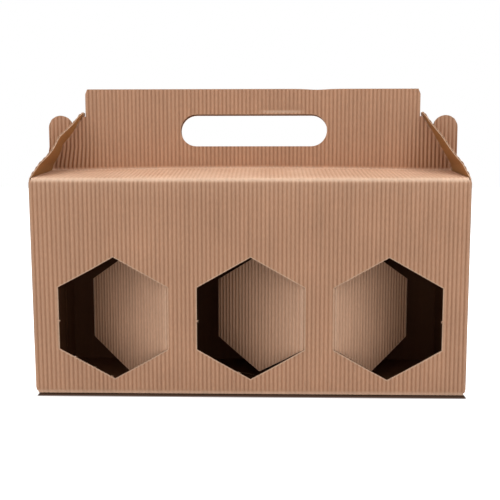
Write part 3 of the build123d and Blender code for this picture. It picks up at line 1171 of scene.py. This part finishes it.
flap_swings = {}
for name, number, hinge_side, angle in WINDOWS:
    hinge_x = number * WINDOW_PITCH + hinge_side * WINDOW_HALF_WIDTH
    swing = flap_swing(hinge_x, hinge_side, angle)
    flap_swings[name] = swing
    cut_out = hexagon(number, FLAP_MARGIN)
    waves = board(
        f"{name}_window_waves", f"{name}_window_flap", front_runs, [cut_out], 0,
        wave_lift([], hinge_crush(hinge_x), flap_light_and_shade(hinge_x)), WAVE_COLUMN, flap_lines_on_wall,
        WAVE_SHEET, wavy_kraft, flap_droop, swing,
    )
    board(
        f"{name}_window_liner", f"{name}_window_flap", front_runs, [cut_out], 0,
        flat_lift, SMOOTH_COLUMN, flap_lines_on_wall, LINER, shaded_inside_kraft, flap_droop, swing,
    )
    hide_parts(f"{name}_window_flap")

# %% [markdown]
# ## The hinges of the window flaps
# A window flap hangs on the upright side of its hexagon. The fold there follows a flute, so
# the strip is plain. Its line is drawn in plan, from the right to the left, and stood upright
# by a turn that makes the strip's length the height.

# %% Hinge strips of the window flaps
upright = Matrix(((0, 0, -1, 0), (0, 1, 0, 0), (1, 0, 0, 0), (0, 0, 0, 1)))
# The plan's reach to each side of the fold, and the half width of the strip that is cut.
HINGE_REACH, HINGE_HALF, HINGE_PLAY = 4, 1.0, 0.4
HINGE_LIFT, HINGE_RUB, HINGE_PAPER = 0.17, 0.25, 0.15


def plain_lift(u, v):
    """A pressed fold along a flute."""
    return HINGE_LIFT, 0.0, HINGE_RUB


def hinge_plan(hinge_x, hinge_side, open_by):
    """The hinge's line in plan, from the wall round the fold onto the open flap."""
    bend_x = hinge_x - hinge_side * SHEET * math.tan(open_by / 2)
    wall_end = (-wall_y, -hinge_x - hinge_side * HINGE_REACH)
    flap_end = (
        -wall_y + HINGE_REACH * math.sin(open_by),
        -bend_x + hinge_side * HINGE_REACH * math.cos(open_by),
    )
    ends = [wall_end, (-wall_y, -bend_x), flap_end]
    return folded(ends[::-1] if hinge_side < 0 else ends, [SHEET])


hinge_low = WINDOW_MIDDLE - WINDOW_SIDE_HALF + HINGE_PLAY
hinge_high = WINDOW_MIDDLE + WINDOW_SIDE_HALF - HINGE_PLAY
for name, number, hinge_side, angle in WINDOWS:
    hinge_x = number * WINDOW_PITCH + hinge_side * WINDOW_HALF_WIDTH
    open_by = math.radians(angle)
    hinge_line = hinge_plan(hinge_x, hinge_side, open_by)
    middle = folds(hinge_line)[0]
    first, last = middle - HINGE_HALF, middle + HINGE_HALF
    hinge_band = [(hinge_low, first), (hinge_high, first), (hinge_high, last), (hinge_low, last)]
    strip = board(
        f"{name}_window_hinge", None, hinge_line, [hinge_band], 0, plain_lift, SMALL_COLUMN,
        [middle + step for step in (-0.6, -0.35, -0.15, 0.0, 0.15, 0.35, 0.6)],
        LINER + HINGE_PAPER, wavy_kraft, None, upright,
    )
    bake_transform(strip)

# %% [markdown]
# ## Cut rims
# A die cuts board by crushing it, so the tunnels of the waves are closed at a cut, and the
# fresh fibres there are paler than the face. A narrow ribbon runs round each window, each
# window flap and the hand hole, from the smooth side to the crests. Round the windows it
# ends in a lip half a millimetre wide, which lies on the waves as a thin pale line.

# %% The rim maker
RIM_STEP, LIP, RIM_INSET, RIM_PAPER = 0.4, 0.5, 0.05, 0.1
# Height of a rim with no lip and how much it waves, and how far a lip lies over the waves.
RIM_HEIGHT, RIM_WAVE, LIP_OVER, LIP_END_OVER = 0.42, 0.2, 0.05, 0.02


def rim_rows(edge, outer, lip):
    """The places of a ribbon's rows and their heights over the smooth sheet."""
    rows = [(edge, -LINER), (edge, 0.0)]
    if not lip:
        return rows + [(edge, RIM_HEIGHT + RIM_WAVE * wave(edge.real))]
    crest = WAVE_SKIN + LIP_OVER + (WAVE_HEIGHT - WAVE_SKIN) * wave(edge.real)
    away = WAVE_SKIN + LIP_END_OVER + (WAVE_HEIGHT - WAVE_SKIN) * wave(outer.real)
    return rows + [(edge, crest), (outer, away)]


def rim(name, body, runs, outline, turn, into, lip, settle, swing=None):
    """A ribbon of cut fibres; into is 1 round an opening and -1 round a flap."""
    turned = Matrix.Rotation(math.radians(turn), 3, "Z")
    corners, faces = [], []
    for (u1, v1), (u2, v2) in zip(outline, outline[1:] + outline[:1]):
        length = math.hypot(u2 - u1, v2 - v1)
        aside = into * complex(-(v2 - v1), u2 - u1) / length
        steps = math.ceil(length / RIM_STEP)
        for step in range(steps):
            at = complex(u1, v1) + complex(u2 - u1, v2 - v1) * step / steps
            for spot, height in rim_rows(at + RIM_INSET * aside, at - LIP * aside, lip):
                corners.append(
                    stood(runs, spot.real, spot.imag, height, turned, settle, swing)
                )
    width = 4 if lip else 3
    for first in range(0, len(corners), width):
        after = (first + width) % len(corners)
        for row in range(width - 1):
            faces.append((first + row, after + row, after + row + 1, first + row + 1))
    thicken(new_piece(name, corners, faces, [cut_fibres], body), RIM_PAPER, 0, 0)
    print(name, len(corners), "points")


print("a rim has a point every", RIM_STEP, "mm")

# %% [markdown]
# ## The rims of the windows and the hand hole
# The photo shows a pale lip round the windows only, so the window flaps and the hand hole
# get the plain rim. A flap's rim swings with its flap.

# %% Cut rims
for (name, number, _, _), outline in zip(WINDOWS, windows):
    rim(f"{name}_window_rim", "carton", front_runs, outline, 0, 1, True, front_settle)
    rim(
        f"{name}_window_flap_rim", f"{name}_window_flap", front_runs,
        hexagon(number, FLAP_MARGIN), 0, -1, False, flap_droop, flap_swings[name],
    )
rim("front_hand_hole_rim", "carton", front_runs, front_hole, 0, 1, False, front_settle)
rim("back_hand_hole_rim", "carton", front_runs, back_hole, 180, 1, False, back_settle)

# %% [markdown]
# ## Torn nicks
# A die leaves small nicks uncut, so that the cut-outs stay in the sheet until they are pushed
# in. Each torn nick leaves a tuft of pale fibres on the edge of the window. A tuft is ten
# bent tapered fibres, and their directions come from a seeded random generator. They lie
# just in front of the wave crests, so a window flap still swings shut behind them.

# %% One tuft of fibres
FIBRES_PER_TUFT, FIBRE_SIDES, FIBRE_ROOT = 10, 3, 0.3
FIBRE_LENGTH, FIBRE_WIDTH = (0.7, 1.7), (0.1, 0.19)
# How much a fibre's direction spreads, how far its root strays and how much it bends.
FIBRE_SPREAD, ROOT_STRAY, FIBRE_BEND = 0.55, 0.25, 0.25
# Rings of a fibre: the share of its length, of its width and of its bend.
FIBRE_RINGS = ((0.0, 1.0, 0.0), (0.55, 0.8, 0.35), (1.0, 0.15, 1.0))
chance = random.Random(7)


def tuft(corners, faces, spot, way):
    """Adds one tuft of fibres at a spot, pointing one way."""
    for _ in range(FIBRES_PER_TUFT):
        spread = [chance.uniform(-FIBRE_SPREAD, FIBRE_SPREAD) for _ in range(3)]
        aim = Vector(way) + Vector((spread[0], -0.3 * abs(spread[1]), spread[2]))
        aim.normalize()
        side = aim.cross(Vector((0, 1, 0.2))).normalized()
        up = aim.cross(side)
        length, width = chance.uniform(*FIBRE_LENGTH), chance.uniform(*FIBRE_WIDTH)
        shift = [chance.uniform(-ROOT_STRAY, ROOT_STRAY) for _ in range(3)]
        root = Vector(spot) + Vector((shift[0], -abs(shift[1]), shift[2])) - aim * FIBRE_ROOT
        bent = Vector((0, -chance.uniform(0.0, FIBRE_BEND), 0))
        first = len(corners)
        for along, wide, swerve in FIBRE_RINGS:
            for turn in range(FIBRE_SIDES):
                spin = cmath.exp(2j * math.pi * turn / FIBRE_SIDES) * width * wide
                corner = root + aim * (length + FIBRE_ROOT) * along + bent * swerve
                corners.append((corner + side * spin.real + up * spin.imag) * MM)
        for ring in (0, FIBRE_SIDES):
            for turn in range(FIBRE_SIDES):
                here, after = first + ring + turn, first + ring + (turn + 1) % FIBRE_SIDES
                faces.append((here, after, after + FIBRE_SIDES, here + FIBRE_SIDES))
        tip = first + 2 * FIBRE_SIDES
        faces.append((tip, tip + 1, tip + 2))
        faces.append((first + 2, first + 1, first))


print("fibres in a tuft", FIBRES_PER_TUFT)

# %% [markdown]
# ## Where the nicks were
# The photo shows tufts on three upright sides and on the lower left edges of two windows.
# Each place is given by its window and by a share of the edge, so it follows the window, and
# it takes the same settled shift as the front itself.

# %% Torn nicks on the window edges
NICK_IN_FRONT, NICK_HEIGHT = 0.35, 45.2
# Nicks on upright sides as (window, side), and on lower left edges as (window, share).
SIDE_NICKS = ((-1, -1), (0, -1), (1, 1))
LOWER_NICKS = ((-1, 0.27), (-1, 0.62), (-1, 0.945), (0, 0.77))


def edge_spot(number, side, share):
    """A spot on the lower edge of a window: side -1 left or 1 right, share of the way down."""
    u = number * WINDOW_PITCH + side * WINDOW_HALF_WIDTH * (1 - share)
    z = WINDOW_MIDDLE - WINDOW_SIDE_HALF - (WINDOW_HALF_HEIGHT - WINDOW_SIDE_HALF) * share
    across, _, rise = front_settle(u, on_wall(z))
    return u + across, -wall_y - WAVE_HEIGHT - NICK_IN_FRONT, z + rise


corners, faces = [], []
for number, side in SIDE_NICKS:
    x, y, _ = edge_spot(number, side, 0.0)
    tuft(corners, faces, (x, y, NICK_HEIGHT), (-side, 0, 0))
for number, share in LOWER_NICKS:
    tuft(corners, faces, edge_spot(number, -1, share), (0.4, 0, 0.8))
new_piece("window_nicks", corners, faces, [cut_fibres], "carton")
print("tufts", len(SIDE_NICKS) + len(LOWER_NICKS), "with", len(corners), "points")

# %% [markdown]
# ## The white background
# The object stands in an even, pale room, but its background is white. A Light Path node
# tells the two apart: rays from the camera, and those that a gloss or a glass passes on, see
# plain white, and all other rays see the dimmer room that lights the object.

# %% World
ROOM_STRENGTH = 0.565


def background_rays(tree):
    """The Light Path node, and one for the rays that may see the background."""
    seen = tree.nodes.new("ShaderNodeLightPath")
    camera_or_gloss = number_sum(
        tree, "MAXIMUM", seen.outputs["Is Camera Ray"], seen.outputs["Is Glossy Ray"]
    )
    any_of_them = number_sum(
        tree, "MAXIMUM", camera_or_gloss, seen.outputs["Is Transmission Ray"]
    )
    return seen, any_of_them


world = bpy.data.worlds.new("studio")
bpy.context.scene.world = world
world.use_nodes = True
tree = world.node_tree
white, room = tree.nodes["Background"], tree.nodes.new("ShaderNodeBackground")
for background, strength in ((white, 1.0), (room, ROOM_STRENGTH)):
    background.inputs["Color"].default_value = (1, 1, 1, 1)
    background.inputs["Strength"].default_value = strength
_, seen_by = background_rays(tree)
mix = tree.nodes.new("ShaderNodeMixShader")
tree.links.new(seen_by, mix.inputs["Fac"])
tree.links.new(room.outputs[0], mix.inputs[1])
tree.links.new(white.outputs[0], mix.inputs[2])
tree.links.new(mix.outputs[0], tree.nodes["World Output"].inputs["Surface"])
print("room strength", ROOM_STRENGTH)

# %% [markdown]
# ## The floor
# The floor is white to the camera like the background, and a plain pale surface to the light
# that it throws back at the object. In front of the box a narrow contact shadow is painted
# into its colour, which clears to white within a centimetre. The painted shadow is worked out
# from how far a place on the floor is from the box's foot, and only the camera sees it, so it
# darkens nothing.

# %% Floor
FLOOR_REACH, FLOOR_UNDER, FLOOR_ROUGHNESS = 6.0, 0.0001, 0.9
# The painted contact shadow in metres: where it starts to clear, where it is gone, and how
# many times sooner that is at the sides.
CLEAR_FROM, CLEAR_TO, SIDES_CLEAR_SOONER = 0.003, 0.0085, 4
# A painted shadow colour for the contact line, and the floor's own pale colour.
CONTACT_SHADOW_COLOUR, FLOOR_COLOUR = (0.075, 0.045, 0.031, 1), (0.7, 0.7, 0.7, 1)


def clearing(tree, spot):
    """Nought at the box's foot, and one where the floor is clear."""
    foot = ((wall_x - 1.2) * MM, wall_y * MM, 0)
    beyond = vector_sum(tree, "SUBTRACT", vector_sum(tree, "ABSOLUTE", spot), foot)
    outside = vector_sum(tree, "MAXIMUM", beyond, (0, 0, 0))
    away = vector_sum(tree, "LENGTH", vector_sum(tree, "MULTIPLY", outside, (SIDES_CLEAR_SOONER, 1, 1)))
    clear = tree.nodes.new("ShaderNodeMapRange")
    clear.interpolation_type = "SMOOTHSTEP"
    clear.inputs["From Min"].default_value = CLEAR_FROM
    clear.inputs["From Max"].default_value = CLEAR_TO
    tree.links.new(away, clear.inputs["Value"])
    return clear.outputs[0]


def painted_contact_shadow(tree, spot, clear, camera_ray):
    """The floor's colour with a painted contact shadow, dark for the camera and only in front."""
    split = tree.nodes.new("ShaderNodeSeparateXYZ")
    tree.links.new(spot, split.inputs[0])
    behind = number_sum(tree, "GREATER_THAN", split.outputs["Y"], (2.0 - wall_y) * MM)
    unseen = number_sum(tree, "SUBTRACT", 1.0, camera_ray)
    pale_share = number_sum(tree, "MAXIMUM", number_sum(tree, "MAXIMUM", clear, unseen), behind)
    contact = tree.nodes.new("ShaderNodeMix")
    contact.data_type = "RGBA"
    contact.inputs["A"].default_value = CONTACT_SHADOW_COLOUR
    contact.inputs["B"].default_value = FLOOR_COLOUR
    tree.links.new(pale_share, contact.inputs["Factor"])
    return contact.outputs["Result"]


def pale_floor():
    """A pale surface that also glows white, for the rays that may see the background."""
    material = bpy.data.materials.new("pale_floor")
    material.use_nodes = True
    tree = material.node_tree
    surface = tree.nodes["Principled BSDF"]
    surface.inputs["Roughness"].default_value = FLOOR_ROUGHNESS
    surface.inputs["Specular IOR Level"].default_value = 0.0
    spot = tree.nodes.new("ShaderNodeTexCoord").outputs["Object"]
    clear = clearing(tree, spot)
    seen, seen_by = background_rays(tree)
    tone = painted_contact_shadow(tree, spot, clear, seen.outputs["Is Camera Ray"])
    tree.links.new(tone, surface.inputs["Base Color"])
    glow, none = (tree.nodes.new("ShaderNodeEmission") for _ in range(2))
    tree.links.new(clear, glow.inputs["Strength"])
    none.inputs["Strength"].default_value = 0.0
    lit = tree.nodes.new("ShaderNodeMixShader")
    tree.links.new(seen_by, lit.inputs["Fac"])
    tree.links.new(none.outputs[0], lit.inputs[1])
    tree.links.new(glow.outputs[0], lit.inputs[2])
    total = tree.nodes.new("ShaderNodeAddShader")
    tree.links.new(surface.outputs[0], total.inputs[0])
    tree.links.new(lit.outputs[0], total.inputs[1])
    tree.links.new(total.outputs[0], tree.nodes["Material Output"].inputs["Surface"])
    return material


floor_mesh = bpy.data.meshes.new("floor")
floor_ends = [(-1, -1), (1, -1), (1, 1), (-1, 1)]
floor_corners = [(x * FLOOR_REACH, y * FLOOR_REACH, 0) for x, y in floor_ends]
floor_mesh.from_pydata(floor_corners, [], [(0, 1, 2, 3)])
floor_mesh.materials.append(pale_floor())
floor = bpy.data.objects.new("floor", floor_mesh)
floor.location.z = -FLOOR_UNDER
bpy.context.collection.objects.link(floor)
print("floor", 2 * FLOOR_REACH, "metres wide")

# %% [markdown]
# ## Lamps
# One large soft lamp overhead makes the lid the lightest face, and two weak ones at the
# sides draw the flutes. Each lamp is placed by an azimuth and an elevation round the object,
# as a photographer would say it, and aimed at the object's middle.

# %% Lamps
LAMP_DISTANCE = 1.5
middle_of_object = Vector((0, 0, 0.08))
# Name, azimuth and elevation in degrees, width in metres and power in watts.
LAMPS = (
    ("overhead", 0, 86, 1.0, 10.6),
    ("left_soft", -60, 38, 0.9, 4.0),
    ("right_soft", 60, 38, 0.9, 4.0),
)


def lamp_place(azimuth, elevation, distance):
    """A spot round the object: azimuth 0 is in front of it and 90 to its right."""
    flat = cmath.exp(1j * math.radians(azimuth)) * math.cos(math.radians(elevation))
    way = Vector((flat.imag, -flat.real, math.sin(math.radians(elevation))))
    return middle_of_object + distance * way


for name, azimuth, elevation, size, power in LAMPS:
    data = bpy.data.lights.new(name, "AREA")
    data.shape = "SQUARE"
    data.size = size
    data.energy = power
    lamp = bpy.data.objects.new(name, data)
    lamp.location = lamp_place(azimuth, elevation, LAMP_DISTANCE)
    lamp.rotation_euler = (middle_of_object - lamp.location).to_track_quat("-Z", "Y").to_euler()
    bpy.context.collection.objects.link(lamp)
print("lamps", [lamp[0] for lamp in LAMPS])

# %% [markdown]
# ## Camera
# The photo was taken from in front, a little to the right and from about seven tenths of the
# object's height, looking slightly down. The camera's place, its tilt and its lens were
# worked out from where the corners of the box lie in the photo.

# %% Camera
CAMERA_SPOT = (9.8, -473.4, 132.9)
CAMERA_TILT, CAMERA_TURN = 84.03, 1.34
CAMERA_LENS, SENSOR_WIDTH = 53.02, 36.0
camera_data = bpy.data.cameras.new("camera")
camera_data.sensor_width = SENSOR_WIDTH
camera_data.lens = CAMERA_LENS
camera = bpy.data.objects.new("camera", camera_data)
camera.location = Vector(CAMERA_SPOT) * MM
camera.rotation_euler = (math.radians(CAMERA_TILT), 0.0, math.radians(CAMERA_TURN))
bpy.context.collection.objects.link(camera)
bpy.context.scene.camera = camera
bpy.context.scene.view_settings.view_transform = "Standard"
print("camera at", CAMERA_SPOT, "mm")
